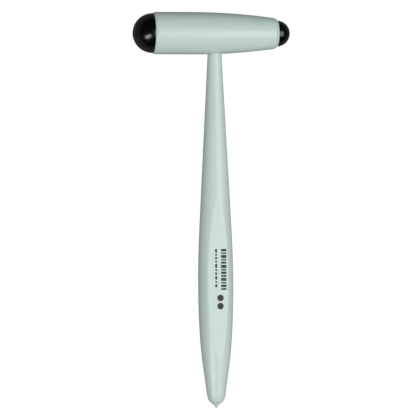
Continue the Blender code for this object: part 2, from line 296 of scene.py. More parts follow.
ALONG_HEAD = Matrix.Rotation(math.radians(90), 4, "Y")
AGAINST_HEAD = Matrix.Rotation(math.radians(-90), 4, "Y")
ALONG_HANDLE = Matrix.Rotation(math.radians(-90), 4, "X")
POLE = 1e-6


def turned(name, outline, segments, lay, centre=0.0, closed=True):
    """A mesh turned about Z from (radius, height, wear) points, then laid along the hammer."""
    grid = bmesh.new()
    wear = grid.verts.layers.float.new("wear")
    rings = []
    for radius, height, mark in outline:
        count = 1 if radius < POLE else segments
        ring = []
        for i in range(count):
            angle = math.tau * i / segments
            vert = grid.verts.new((radius * math.cos(angle), radius * math.sin(angle), height))
            vert[wear] = mark
            ring.append(vert)
        rings.append(ring)
    pairs = list(zip(rings, rings[1:]))
    if closed:
        pairs.append((rings[-1], rings[0]))
    for upper, lower in pairs:
        for i in range(segments):
            j = (i + 1) % segments
            above, below = len(upper), len(lower)
            corners = (upper[i % above], upper[j % above], lower[j % below], lower[i % below])
            loop = list(dict.fromkeys(corners))
            if len(loop) > 2:
                grid.faces.new(loop)
    position = Matrix.Translation((centre, 0, 0))
    return finished_mesh(name, grid, position @ lay)


def finished_mesh(name, grid, lay=Matrix.Identity(4)):
    """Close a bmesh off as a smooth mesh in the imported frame, in metres."""
    bmesh.ops.recalc_face_normals(grid, faces=grid.faces)
    mesh = bpy.data.meshes.new(name)
    grid.to_mesh(mesh)
    grid.free()
    mesh.transform(HAMMER @ Matrix.Scale(MM, 4) @ lay)
    mesh.shade_smooth()
    mesh.set_sharp_from_angle(angle=SHARP_ANGLE)
    return mesh


def place(name, mesh, material, slot, body, *nodes):
    """Put a piece in the scene on its body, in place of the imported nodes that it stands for."""
    piece = bpy.data.objects.new(name, mesh)
    bpy.context.scene.collection.objects.link(piece)
    mesh.materials.append(material)
    if nodes:
        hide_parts(*nodes)
    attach(piece, body)
    return piece


def cut_with(piece, mesh):
    """Take a cutter's shape out of a piece and bake the result into its mesh."""
    cutter = bpy.data.objects.new("cutter", mesh)
    bpy.context.scene.collection.objects.link(cutter)
    boolean = piece.modifiers.new("cut", "BOOLEAN")
    boolean.operation = "DIFFERENCE"
    boolean.solver = "EXACT"
    boolean.object = cutter
    graph = bpy.context.evaluated_depsgraph_get()
    result = bpy.data.meshes.new_from_object(piece.evaluated_get(graph))
    piece.modifiers.clear()
    piece.data = result
    bpy.data.objects.remove(cutter)
    grid = bmesh.new()
    grid.from_mesh(result)
    bmesh.ops.remove_doubles(grid, verts=grid.verts, dist=CUT_WELD)
    bmesh.ops.dissolve_degenerate(grid, edges=grid.edges, dist=CUT_WELD)
    grid.to_mesh(result)
    grid.free()


# ---------------------------------------------------------------- shapes of the head


def taper_radius(x):
    """The barrel's radius at a place along the head."""
    return HEAD_RADIUS - max(x - TAPER_START, 0.0) ** 2 / (2 * TAPER_RADIUS)


def barrel_outline():
    """Closed outline of the barrel's wall: taper, rim, counterbore, cavity and small bore."""
    shoulder_x = SMALL_END - SHOULDER_RADIUS * math.sin(SHOULDER_ANGLE)
    shoulder_centre = (taper_radius(shoulder_x) - SHOULDER_RADIUS, shoulder_x)
    shoulder = arc(shoulder_centre, SHOULDER_RADIUS, SHOULDER_ANGLE, 0, 6)
    span = shoulder_x - TAPER_START
    runs = [TAPER_START + span * i / TAPER_STEPS for i in reversed(range(TAPER_STEPS))]
    rim_x = LARGE_END + RIM_RADIUS * math.sin(RIM_ANGLE)
    run = rim_x - TAPER_START
    between = range(1, STRAIGHT_STEPS)
    straight = [(HEAD_RADIUS, TAPER_START + run * i / STRAIGHT_STEPS) for i in between]
    rim = arc((HEAD_RADIUS - RIM_RADIUS, rim_x), RIM_RADIUS, 0, -RIM_ANGLE, 9)
    outer = [(r, x, 0.0) for r, x in [(taper_radius(x), x) for x in runs] + straight]
    inside = rounded(
        [
            (COUNTERBORE_RADIUS, LARGE_END, 0.08),
            (COUNTERBORE_RADIUS, LARGE_END + COUNTERBORE_DEPTH),
            (CAVITY_RADIUS, LARGE_END + COUNTERBORE_DEPTH),
            (CAVITY_RADIUS, CAVITY_END),
            (SMALL_BORE_RADIUS, CAVITY_END),
            (SMALL_BORE_RADIUS, SMALL_END),
        ],
        closed=False,
    )
    return (
        [(r, x, 1.0) for r, x in shoulder]
        + outer
        + [(r, x, min(1.0, i / 5)) for i, (r, x) in enumerate(rim)]
        + inside
    )


def large_bush_outline():
    """Flanged bush of the large end, its bore chamfered and grooved for the stud's ribs."""
    bore = LARGE_BUMPER["stem"] + BORE_PLAY
    flange = LARGE_END + COUNTERBORE_DEPTH - 0.05
    return rounded(
        [
            (BUSH_SLEEVE, -CAVITY_END, 0.2),
            (BUSH_SLEEVE, flange),
            (BUSH_FLANGE, flange, 0.1),
            (BUSH_FLANGE, LARGE_END, 0.12),
            (8.9, LARGE_END, 0.1),
            (8.7, LARGE_END + 0.25),
            (7.7, LARGE_END + 0.25),
            (7.5, LARGE_END, 0.1),
            (bore + 0.5, LARGE_END, 0.08),
            (bore, LARGE_END + 0.5, 0.08),
            (bore, LARGE_END + 3.4, 0.05),
            (bore + 0.2, LARGE_END + 3.7, 0.05),
            (bore + 0.2, LARGE_END + 5.3, 0.05),
            (bore, LARGE_END + 5.6, 0.05),
            (bore, -CAVITY_END, 0.2),
        ]
    )


def small_bush_outline():
    """Bush of the small end with its chamfered outer lip."""
    bore = SMALL_BUMPER["stem"] + BORE_PLAY
    return rounded(
        [
            (bore + 0.4, LIP_END, 0.06),
            (LIP_RADIUS, LIP_END, 0.12),
            (LIP_ROOT_RADIUS, SMALL_END + 0.14, 0.1),
            (LIP_ROOT_RADIUS - 0.12, SMALL_END + 0.05),
            (SMALL_SLEEVE_RADIUS, SMALL_END + 0.05),
            (SMALL_SLEEVE_RADIUS, SMALL_END - SMALL_SLEEVE, 0.2),
            (bore, SMALL_END - SMALL_SLEEVE, 0.2),
            (bore, LIP_END - 3.6, 0.05),
            (bore + 0.2, LIP_END - 3.4, 0.05),
            (bore + 0.2, LIP_END - 2.2, 0.05),
            (bore, LIP_END - 2.0, 0.05),
            (bore, LIP_END - 0.4, 0.06),
        ]
    )


def dome_outline(size):
    """Rubber dome: crown, skirt edge, underside with its seating ring, and the stud's pocket."""
    skirt, base = SKIRT_ROUND, size["base"]
    edge = math.asin((base + skirt) / size["dome"])
    crown = arc((0, 0), size["dome"], math.pi / 2, edge, DOME_STEPS)
    reach = crown[-1][0]
    outline = [(r, h, smoothstep(h, (size["dome"] * 0.55, size["dome"]))) for r, h in crown]
    outline[0] = (0.0, size["dome"], 1.0)
    outline += [(reach - skirt + skirt * math.cos(a), base + skirt - skirt * math.sin(a), 0.6)
                for a in (0.4, 0.8, 1.2, math.pi / 2)]
    stem = size["stem"] + RUBBER_GAP
    disc = size["disc"] + RUBBER_GAP
    middle = (stem + reach) / 2
    outline += rounded(
        [
            (reach - skirt - 0.3, base),
            (middle + SEAT_MOUTH, base, 0.05),
            (middle + SEAT_FLOOR, base + SEAT_DEPTH),
            (middle - SEAT_FLOOR, base + SEAT_DEPTH),
            (middle - SEAT_MOUTH, base, 0.05),
            (stem, base, 0.15),
            (stem, size["disc_low"] - RUBBER_GAP),
            (disc, size["disc_low"] - RUBBER_GAP),
            (disc, size["disc_top"] + RUBBER_GAP),
            (0.0, size["disc_top"] + RUBBER_GAP),
        ],
        closed=False,
    )
    return outline


def stud_outline(size):
    """Moulded stud: a disc held in the rubber, a ribbed stem, a lead-in taper and a cored end."""
    stem = size["stem"] - RIB_HEIGHT
    low = -size["reach"]
    corners = [
        (0.0, size["disc_top"]),
        (size["disc"], size["disc_top"], 0.25),
        (size["disc"], size["disc_low"], 0.25),
        (size["stem"], size["disc_low"], 0.1),
        (size["stem"], size["base"] - 0.2, 0.1),
        (stem, size["base"] - 0.45, 0.1),
    ]
    pitch = (size["reach"] - 2.6) / size["ribs"]
    for i in range(size["ribs"]):
        height = -0.9 - pitch * i
        corners += [
            (stem, height, 0.08),
            (size["stem"], height - 0.25, 0.12),
            (size["stem"], height - 0.55, 0.12),
            (stem, height - 1.05, 0.08),
        ]
    corners += [
        (stem, low + 1.0, 0.2),
        (stem - 0.7, low, 0.2),
        (size["core"], low, 0.15),
        (size["core"] - 0.2, low + 5.0, 0.1),
        (0.0, low + 5.0),
    ]
    return rounded(corners, closed=False, steps=3, guard=0.12)


# ---------------------------------------------------------------- shapes of the grip


def grip_outline():
    """(station, half-width) points down the grip, from the neck's blend to the butt's opening."""
    start = (NECK_BLEND_END, neck_half_width(NECK_BLEND_END))
    points = line(start, TAPER_END, 52)
    points += bezier(BELLY_CURVE, 16)[1:]
    points += bezier(LOWER_CURVE, 30)[1:]
    points += line(*BUTT_LINE, 10)[1:]
    points += [p for p in bezier(BUTT_CURVE, 26)[1:] if p[1] > BUTT_OPENING]
    return points


def neck_half_width(station):
    """The round neck's radius at a station."""
    slope = (TAPER_END[1] - NECK_START[1]) / (TAPER_END[0] - NECK_START[0])
    return NECK_START[1] + (station - NECK_START[0]) * slope


def soft_min(value, limit, blend):
    """The lesser of value and limit, with the corner between them rounded."""
    mix = max(blend - abs(value - limit), 0.0) / blend
    return min(value, limit) - mix * mix * blend / 4


def inner_radius(station):
    """The radius of the grip's bore and hollows at a station."""
    for (t0, r0), (t1, r1) in zip(INNER_OUTLINE, INNER_OUTLINE[1:]):
        if station <= t1:
            return r0 + (r1 - r0) * (station - t0) / (t1 - t0)
    return INNER_OUTLINE[-1][1]


def section_angles(depth, seam):
    """Angles across one half section, closer together at the edge of the flat panel."""
    edge = math.asin(min(FLAT_HALF / depth, FLAT_SINE_LIMIT))
    start = math.asin(min(seam / depth, SEAM_SINE_LIMIT))
    rise = edge - FLAT_EDGE_BAND - start
    left = math.pi / 2 - edge - FLAT_EDGE_BAND
    shares = [1 - (1 - i / SIDE_STEPS) ** SIDE_CROWDING for i in range(SIDE_STEPS + 1)]
    side = [start + rise * share for share in shares]
    across = [edge + FLAT_EDGE_BAND + left * i / FLAT_STEPS for i in range(FLAT_STEPS + 1)]
    half = side + [edge + step for step in FLAT_EDGE_STEPS] + across
    return half + [math.pi - angle for angle in reversed(half[:-1])]


def saddle_station(x, z, clearance):
    """The station at which the neck meets the barrel, over one point of its section."""
    reach = taper_radius(x) + clearance
    return math.sqrt(reach * reach - z * z)


def shell_rings(seam_gap, seam_edge, clearance):
    """Outer and inner rings of one half shell as (x, station, z, wear) points, head end first."""
    outer, inner = [], []

    def ring(station, half_width, inset=0.0, crown=None):
        """One outer ring; crown lifts it to the saddle by a share from 0 to 1."""
        depth = half_width * (1 + (OVAL - 1) * smoothstep(station, OVAL_SPAN))
        angles = section_angles(depth, seam_gap / 2 + seam_edge)
        points = []
        for angle in angles:
            x = (half_width - inset) * math.cos(angle)
            z = soft_min(depth * math.sin(angle), FLAT_HALF, FLAT_BLEND)
            z = max(z - inset * math.sin(angle), seam_gap / 2 + seam_edge)
            edge_zone = abs(depth * math.sin(angle) - FLAT_HALF) < FLAT_BLEND * 2
            points.append([x, station, z, 0.55 if edge_zone else 0.0])
        first, last = points[0], points[-1]
        lead = [[first[0] - seam_edge, station, seam_gap / 2, 0.8],
                [first[0] - seam_edge * 0.29, station, seam_gap / 2 + seam_edge * 0.29, 0.8]]
        tail = [[last[0] + seam_edge * 0.29, station, seam_gap / 2 + seam_edge * 0.29, 0.8],
                [last[0] + seam_edge, station, seam_gap / 2, 0.8]]
        points = lead + points + tail
        if crown is not None:
            for point in points:
                top = saddle_station(point[0], point[2], clearance)
                point[1] = top + crown * (NECK_BLEND_END - top)
        return points

    def bore(station, angles_from, crown=None):
        """The inner ring that faces an outer ring."""
        points = []
        count = len(angles_from)
        radius = inner_radius(station)
        start = math.asin(min(seam_gap / 2 / radius, 0.9))
        for i in range(count):
            angle = start + (math.pi - 2 * start) * i / (count - 1)
            point = [radius * math.cos(angle), station, radius * math.sin(angle), 0.0]
            if crown is not None:
                top = saddle_station(point[0], point[2], clearance)
                point[1] = top + crown * (NECK_BLEND_END - top)
            points.append(point)
        return points

    turns = [math.radians(a) for a in (90, 67, 45, 22)]
    for turn in turns:
        lift = NECK_EDGE * (1 - math.cos(turn - math.pi / 2)) if turn < math.pi / 2 else 0.0
        inset = NECK_EDGE * (1 - math.cos(turn))
        points = ring(NECK_TOP, neck_half_width(NECK_TOP), inset, crown=0.0)
        for point in points:
            point[1] += lift
            point[3] = 0.9
        outer.append(points)
        inner.append(bore(NECK_TOP, points, crown=0.0))
        for point in inner[-1]:
            point[1] += lift
    for share in NECK_BLEND_SHARES:
        station = NECK_TOP + share * (NECK_BLEND_END - NECK_TOP)
        points = ring(station, neck_half_width(station), crown=share)
        outer.append(points)
        inner.append(bore(station, points, crown=share))
    for station, half_width in grip_outline():
        points = ring(station, half_width)
        outer.append(points)
        inner.append(bore(station, points))
    return outer, inner


def shell_mesh(name, side, sizes):
    """One closed half shell: outer and inner skins, the saddle, the butt's ring and the seams."""
    outer, inner = shell_rings(sizes.seam_gap / MM, sizes.seam_edge / MM, sizes.fit_gap / MM)
    grid = bmesh.new()
    wear = grid.verts.layers.float.new("wear")

    def verts(points):
        made = []
        for x, station, z, mark in points:
            vert = grid.verts.new((x, -station, side * z))
            vert[wear] = mark
            made.append(vert)
        return made

    skins = [verts(points) for points in outer]
    cores = [verts(points) for points in inner]
    loop = skins + list(reversed(cores))
    for here, there in zip(loop, loop[1:] + loop[:1]):
        for i in range(len(here) - 1):
            grid.faces.new((here[i], here[i + 1], there[i + 1], there[i]))
    for column in (0, -1):
        for i in range(len(skins) - 1):
            grid.faces.new(
                (skins[i][column], skins[i + 1][column], cores[i + 1][column], cores[i][column])
            )
    return finished_mesh(name, grid)


def tip_outline():
    """Stroking point: collar and stem in the seat, a small flare at the butt and a cone."""
    flare = [(TIP_SEAT - 0.45 * math.sin(a), -TIP_FLARE_START - 0.3 * (1 - math.cos(a)), 0.0)
             for a in (0.0, 0.4, 0.8, 1.2, math.pi / 2)]
    nose = arc((0, TIP_NOSE - TIP_END), TIP_NOSE, math.radians(-32), math.radians(-88), 7)
    cone = line((TIP_RADIUS, -TIP_SHOULDER), nose[0], 10)
    stem = rounded(
        [
            (0.0, -TIP_STEM_SPAN[0]),
            (TIP_RADIUS, -TIP_STEM_SPAN[0], 0.2),
            (TIP_RADIUS, -TIP_STEM_SPAN[1], 0.1),
            (TIP_SEAT, -TIP_SEAT_START, 0.05),
        ],
        closed=False,
    )
    cone_points = [(r, h, smoothstep(-h, TIP_WEAR_SPAN)) for r, h in cone + nose[1:]]
    return stem + flare + cone_points + [(0.0, -TIP_END, 1.0)]


# ---------------------------------------------------------------- printed marks


def rounded_block(grid, centre, half, corner):
    """One thin printed block with rounded corners, standing on the front panel."""
    outline = []
    for quarter in range(4):
        sign_x = 1 if quarter in (0, 3) else -1
        sign_y = 1 if quarter in (0, 1) else -1
        for i in range(5):
            angle = math.pi / 2 * (quarter + i / 4)
            outline.append((
                centre[0] + sign_x * (half[0] - corner) + corner * math.cos(angle),
                centre[1] + sign_y * (half[1] - corner) + corner * math.sin(angle),
            ))
    low = [grid.verts.new((x, y, FLAT_HALF - INK_ROOT)) for x, y in outline]
    high = [grid.verts.new((x, y, FLAT_HALF + INK_HEIGHT)) for x, y in outline]
    grid.faces.new(low)
    grid.faces.new(high)
    for i in range(len(outline)):
        j = (i + 1) % len(outline)
        grid.faces.new((low[i], low[j], high[j], high[i]))


def stripe_mesh(name, start, lengths, space, span, corner):
    """A row of printed blocks down the panel."""
    grid = bmesh.new()
    middle = sum(span) / 2
    half_span = (span[1] - span[0]) / 2
    station = start
    for length in lengths:
        centre = (middle, -(station + length / 2))
        rounded_block(grid, centre, (half_span, length / 2), min(corner, length / 2 - 0.02))
        station += length + space
    return finished_mesh(name, grid)


# ---------------------------------------------------------------- shader tools


class Nodes:
    """Adds nodes to one tree and links them, with columns laid out left to right."""

    def __init__(self, tree):
        self.tree = tree

    def add(self, kind, values=None, links=None, **settings):
        node = self.tree.nodes.new(kind)
        node.location = (len(self.tree.nodes) * 180 - 1600, 0)
        for key, value in settings.items():
            setattr(node, key, value)
        for socket, value in (values or {}).items():
            node.inputs[socket].default_value = value
        for socket, source in (links or {}).items():
            self.tree.links.new(source, node.inputs[socket])
        return node

    def maths(self, operation, a, b=None, c=None, clamp=False):
        node = self.add("ShaderNodeMath", operation=operation, use_clamp=clamp)
        for index, value in enumerate((a, b, c)):
            if value is None:
                continue
            if isinstance(value, (int, float)):
                node.inputs[index].default_value = value
            else:
                self.tree.links.new(value, node.inputs[index])
        return node.outputs[0]

    def remap(self, value, low, high, to_low=0.0, to_high=1.0):
        node = self.add(
            "ShaderNodeMapRange",
            {"From Min": low, "From Max": high, "To Min": to_low, "To Max": to_high},
            {"Value": value},
            interpolation_type="SMOOTHSTEP",
        )
        return node.outputs["Result"]

    def blend(self, factor, a, b, mode="MIX"):
        node = self.add("ShaderNodeMix", data_type="RGBA", blend_type=mode)
        for index, value in ((0, factor), (6, a), (7, b)):
            if isinstance(value, (int, float)):
                node.inputs[index].default_value = value
            elif isinstance(value, tuple):
                node.inputs[index].default_value = value
            else:
                self.tree.links.new(value, node.inputs[index])
        return node.outputs[2]

    def noise(self, vector, scale, detail=3.0, roughness=0.55):
        values = {"Detail": detail, "Roughness": roughness}
        node = self.add("ShaderNodeTexNoise", values, {"Vector": vector})
        if isinstance(scale, (int, float)):
            node.inputs["Scale"].default_value = scale
        else:
            self.tree.links.new(scale, node.inputs["Scale"])
        return node.outputs["Fac"]


def new_group(name, inputs, outputs):
    """An empty shader group with named sockets; returns its tree, input node and output node."""
    tree = bpy.data.node_groups.new(name, "ShaderNodeTree")
    for label, kind, value in inputs:
        socket = tree.interface.new_socket(name=label, in_out="INPUT", socket_type=kind)
        if value is not None:
            socket.default_value = value
    for label, kind in outputs:
        tree.interface.new_socket(name=label, in_out="OUTPUT", socket_type=kind)
    return tree, tree.nodes.new("NodeGroupInput"), tree.nodes.new("NodeGroupOutput")


FLOAT = "NodeSocketFloat"
COLOR = "NodeSocketColor"
VECTOR = "NodeSocketVector"


def grain_group():
    """Moulded grain: a fine pebble over a slow swell, as a height."""
    tree, start, end = new_group(
        "Moulded Grain",
        [("Vector", VECTOR, None), ("Scale", FLOAT, 2500.0), ("Swell", FLOAT, 0.35)],
        [("Height", FLOAT)],
    )
    nodes = Nodes(tree)
    vector, scale, swell = start.outputs[:3]
    fine = nodes.noise(vector, scale, 4.0, 0.6)
    slow = nodes.noise(vector, nodes.maths("MULTIPLY", scale, 0.045), 2.0)
    height = nodes.maths("MULTIPLY_ADD", slow, swell, fine)
    tree.links.new(height, end.inputs["Height"])
    return tree


def drift_group():
    """Colour drift: slow clouds between two shades, with a trace of fine mottling."""
    tree, start, end = new_group(
        "Colour Drift",
        [
            ("Vector", VECTOR, None),
            ("Shade A", COLOR, (0.5, 0.5, 0.5, 1)),
            ("Shade B", COLOR, (0.6, 0.6, 0.6, 1)),
            ("Cloud Scale", FLOAT, 30.0),
            ("Mottle", FLOAT, 0.2),
        ],
        [("Color", COLOR), ("Cloud", FLOAT)],
    )
    nodes = Nodes(tree)
    vector, shade_a, shade_b, scale, mottle = start.outputs[:5]
    cloud = nodes.noise(vector, scale, 3.0)
    speck = nodes.noise(vector, nodes.maths("MULTIPLY", scale, 45.0), 2.0)
    speck = nodes.maths("MULTIPLY", nodes.maths("SUBTRACT", speck, 0.5), mottle)
    mix = nodes.maths("ADD", nodes.remap(cloud, 0.3, 0.7), speck, clamp=True)
    tree.links.new(nodes.blend(mix, shade_a, shade_b), end.inputs["Color"])
    tree.links.new(cloud, end.inputs["Cloud"])
    return tree


def wear_group():
    """Handling wear: broken polish along marked edges and faint rubbed patches elsewhere."""
    tree, start, end = new_group(
        "Handling Wear",
        [
            ("Vector", VECTOR, None),
            ("Edge", FLOAT, 0.0),
            ("Amount", FLOAT, 0.5),
            ("Scale", FLOAT, 400.0),
        ],
        [("Edge Mask", FLOAT), ("Rub Mask", FLOAT)],
    )
    nodes = Nodes(tree)
    vector, edge, amount, scale = start.outputs[:4]
    broken = nodes.remap(nodes.noise(vector, scale, 5.0, 0.65), 0.35, 0.62)
    mask = nodes.maths("MULTIPLY", nodes.maths("MULTIPLY", edge, broken), amount, clamp=True)
    patch = nodes.remap(nodes.noise(vector, nodes.maths("MULTIPLY", scale, 0.12), 4.0), 0.5, 0.72)
    rub = nodes.maths("MULTIPLY", patch, amount, clamp=True)
    tree.links.new(mask, end.inputs["Edge Mask"])
    tree.links.new(rub, end.inputs["Rub Mask"])
    return tree


def scratch_group():
    """Fine scratches: sparse hairlines in two slanting directions, as a mask."""
    tree, start, end = new_group(
        "Hairline Scratches",
        [("Vector", VECTOR, None), ("Scale", FLOAT, 90.0), ("Amount", FLOAT, 0.5)],
        [("Mask", FLOAT)],
    )
    nodes = Nodes(tree)
    vector, scale, amount = start.outputs[:3]
    layers = []
    for angle, stretch in ((0.35, 16.0), (-0.9, 22.0)):
        turned_vector = nodes.add(
            "ShaderNodeMapping",
            {"Rotation": (0.2, 0.3, angle), "Scale": (stretch, 1.0, stretch * 0.5)},
            {"Vector": vector},
        ).outputs[0]
        streak = nodes.noise(turned_vector, scale, 2.0, 0.5)
        layers.append(nodes.remap(streak, 0.68, 0.74))
    gate = nodes.remap(nodes.noise(vector, nodes.maths("MULTIPLY", scale, 0.6), 2.0), 0.45, 0.6)
    mask = nodes.maths("MAXIMUM", layers[0], layers[1])
    mask = nodes.maths("MULTIPLY", nodes.maths("MULTIPLY", mask, gate), amount, clamp=True)
    tree.links.new(mask, end.inputs["Mask"])
    return tree


def dust_group():
    """Dust: small separate specks that settle thinly everywhere."""
    tree, start, end = new_group(
        "Dust Specks",
        [("Vector", VECTOR, None), ("Scale", FLOAT, 900.0), ("Amount", FLOAT, 0.3)],
        [("Mask", FLOAT)],
    )
    nodes = Nodes(tree)
    vector, scale, amount = start.outputs[:3]
    cells = nodes.add(
        "ShaderNodeTexVoronoi",
        {"Randomness": 1.0},
        {"Vector": vector, "Scale": scale},
        feature="F1",
    )
    size = nodes.noise(vector, nodes.maths("MULTIPLY", scale, 0.5), 2.0)
    reach = nodes.maths("MULTIPLY", nodes.remap(size, 0.55, 0.8), 0.22)
    speck = nodes.maths("LESS_THAN", cells.outputs["Distance"], reach)
    tree.links.new(nodes.maths("MULTIPLY", speck, amount, clamp=True), end.inputs["Mask"])
    return tree


GROUP_MAKERS = {
    "Moulded Grain": grain_group,
    "Colour Drift": drift_group,
    "Handling Wear": wear_group,
    "Hairline Scratches": scratch_group,
    "Dust Specks": dust_group,
}


def group_tree(name):
    """A shader group, built the first time it is asked for."""
    return bpy.data.node_groups.get(name) or GROUP_MAKERS[name]()


class Finish(Nodes):
    """One material: a Principled shader fed by the shared groups in the hammer's own frame."""

    def __init__(self, name):
        self.material = bpy.data.materials.new(name)
        self.material.use_nodes = True
        super().__init__(self.material.node_tree)
        self.shader = self.tree.nodes["Principled BSDF"]
        coordinates = self.add("ShaderNodeTexCoord")
        self.vector = self.add(
            "ShaderNodeMapping",
            {"Location": HAMMER.to_translation(), "Rotation": HAMMER.to_euler()},
            {"Vector": coordinates.outputs["Object"]},
            vector_type="TEXTURE",
        ).outputs[0]

    def group(self, name, values, links=None):
        """Place a shared group on the hammer's coordinates, with this material's own values."""
        node = self.add("ShaderNodeGroup", node_tree=group_tree(name))
        self.tree.links.new(self.vector, node.inputs["Vector"])
        for socket, value in values.items():
            node.inputs[socket].default_value = value
        for socket, source in (links or {}).items():
            self.tree.links.new(source, node.inputs[socket])
        return node.outputs

    def drift(self, shade_a, shade_b, clouds, mottle):
        return self.group(
            "Colour Drift",
            {"Shade A": shade_a, "Shade B": shade_b, "Cloud Scale": clouds, "Mottle": mottle},
        )

    def handled(self, amount, scale, edges=True):
        """Handling wear, led by the mesh's own record of its edges and crowns where it has one."""
        mark = {}
        if edges:
            mark["Edge"] = self.add("ShaderNodeAttribute", attribute_name="wear").outputs["Fac"]
        return self.group("Handling Wear", {"Amount": amount, "Scale": scale}, mark)

    def hairlines(self, amount, scale):
        return self.group("Hairline Scratches", {"Scale": scale, "Amount": amount})["Mask"]

    def dust(self, amount, scale):
        return self.group("Dust Specks", {"Scale": scale, "Amount": amount})["Mask"]

    def grain(self, scale, swell):
        return self.group("Moulded Grain", {"Scale": scale, "Swell": swell})["Height"]

    def bump(self, height, distance, strength=1.0, base=None):
        values = {"Distance": distance, "Strength": strength}
        node = self.add("ShaderNodeBump", values, {"Height": height})
        if base is not None:
            self.tree.links.new(base, node.inputs["Normal"])
        return node.outputs["Normal"]

    def feed(self, **sockets):
        """Link or set the shader's sockets, named with underscores for spaces."""
        for name, value in sockets.items():
            socket = self.shader.inputs[name.replace("_", " ")]
            if isinstance(value, (int, float, tuple)):
                socket.default_value = value
            else:
                self.tree.links.new(value, socket)


def shade(colour, factor, tint=(1.0, 1.0, 1.0)):
    """A colour scaled by a factor and a tint, with full alpha."""
    return (*(min(c * factor * t, 1.0) for c, t in zip(colour, tint)), 1.0)


def moulded_mint(finish_values):
    """Satin moulded plastic: pale cloudy green, light edges, hairlines, dust and a fine grain."""
    finish = Finish("moulded_mint")
    mint = finish_values.mint
    wear = finish_values.wear
    drift = finish.drift(shade(mint, 0.985), shade(mint, 1.015, (1.01, 1.0, 0.998)), 26.0, 0.25)
    worn = finish.handled(wear, 700.0)
    hairline = finish.hairlines(wear, 85.0)
    dust = finish.dust(wear * 0.35, 620.0)
    colour = finish.blend(
        finish.maths("MULTIPLY", worn["Edge Mask"], 0.45), drift["Color"], shade(mint, 1.16)
    )
    colour = finish.blend(finish.maths("MULTIPLY", hairline, 0.12), colour, shade(mint, 1.2))
    colour = finish.blend(dust, colour, shade(mint, 0.72))
    smoothest = finish_values.mint_roughness - 0.04
    roughness = finish.maths("MULTIPLY_ADD", drift["Cloud"], 0.08, smoothest)
    roughness = finish.maths("MULTIPLY_ADD", worn["Rub Mask"], -0.07, roughness)
    roughness = finish.maths("MULTIPLY_ADD", hairline, 0.14, roughness)
    roughness = finish.maths("MULTIPLY_ADD", worn["Edge Mask"], -0.08, roughness, clamp=True)
    grain = finish.grain(2600.0, 1.6)
    normal = finish.bump(grain, 0.000012, 0.55)
    normal = finish.bump(finish.maths("MULTIPLY", hairline, -1.0), 0.000008, 0.5, normal)
    finish.feed(Base_Color=colour, Roughness=roughness, Normal=normal, IOR=1.43)
    return finish.material


def bumper_rubber(finish_values):
    """Moulded black rubber: satin skin, greyer rubbed crown, hairlines, dust and grain."""
    finish = Finish("bumper_rubber")
    rubber = finish_values.rubber
    wear = finish_values.wear
    drift = finish.drift(shade(rubber, 0.8), shade(rubber, 1.3), 110.0, 0.3)
    worn = finish.handled(wear, 500.0)
    hairline = finish.hairlines(wear, 120.0)
    dust = finish.dust(wear * 0.5, 1100.0)
    colour = finish.blend(
        finish.maths("MULTIPLY", worn["Edge Mask"], 0.35), drift["Color"], shade(rubber, 2.2)
    )
    colour = finish.blend(finish.maths("MULTIPLY", dust, 0.5), colour, (0.2, 0.2, 0.19, 1.0))
    smoothest = finish_values.rubber_roughness - 0.05
    roughness = finish.maths("MULTIPLY_ADD", drift["Cloud"], 0.1, smoothest)
    roughness = finish.maths("MULTIPLY_ADD", worn["Edge Mask"], 0.12, roughness)
    roughness = finish.maths("MULTIPLY_ADD", hairline, 0.15, roughness, clamp=True)
    grain = finish.grain(3600.0, 0.8)
    normal = finish.bump(grain, 0.00001, 0.5)
    finish.feed(Base_Color=colour, Roughness=roughness, Normal=normal, IOR=1.56)
    return finish.material


def turned_steel(finish_values):
    """Turned steel: fine rings about the head's axis, cloudy haze, rubs and light scratches."""
    finish = Finish("turned_steel")
    steel = finish_values.steel
    wear = finish_values.wear
    drift = finish.drift(shade(steel, 0.86, (1.0, 0.99, 0.97)), shade(steel, 1.08), 160.0, 0.4)
    worn = finish.handled(wear, 650.0)
    hairline = finish.hairlines(wear, 160.0)
    rings = finish.add(
        "ShaderNodeTexWave",
        {"Scale": 900.0, "Distortion": 1.2, "Detail": 3.0, "Detail Scale": 4.0},
        {"Vector": finish.vector},
        wave_type="RINGS",
        rings_direction="X",
    ).outputs["Fac"]
    roughness = finish.maths("MULTIPLY_ADD", drift["Cloud"], 0.16, 0.22)
    roughness = finish.maths("MULTIPLY_ADD", rings, 0.05, roughness)
    roughness = finish.maths("MULTIPLY_ADD", hairline, 0.12, roughness, clamp=True)
    colour = finish.blend(
        finish.maths("MULTIPLY", worn["Rub Mask"], 0.3), drift["Color"], shade(steel, 0.7)
    )
    normal = finish.bump(rings, 0.000004, 0.6)
    finish.feed(Base_Color=colour, Roughness=roughness, Normal=normal, Metallic=1.0)
    return finish.material


def natural_nylon(finish_values):
    """Natural nylon: milky, slightly yellowed in clouds, softly grained, with scuffed ribs."""
    finish = Finish("natural_nylon")
    nylon = finish_values.nylon
    wear = finish_values.wear
    drift = finish.drift(shade(nylon, 0.95, (1.0, 0.99, 0.95)), shade(nylon, 1.02), 140.0, 0.3)
    worn = finish.handled(wear, 900.0)
    colour = finish.blend(
        finish.maths("MULTIPLY", worn["Edge Mask"], 0.4), drift["Color"], shade(nylon, 0.62)
    )
    roughness = finish.maths("MULTIPLY_ADD", drift["Cloud"], 0.12, 0.4)
    roughness = finish.maths("MULTIPLY_ADD", worn["Rub Mask"], -0.08, roughness, clamp=True)
    grain = finish.grain(3000.0, 1.0)
    finish.feed(Base_Color=colour, Roughness=roughness, Normal=finish.bump(grain, 0.000012, 0.6))
    return finish.material


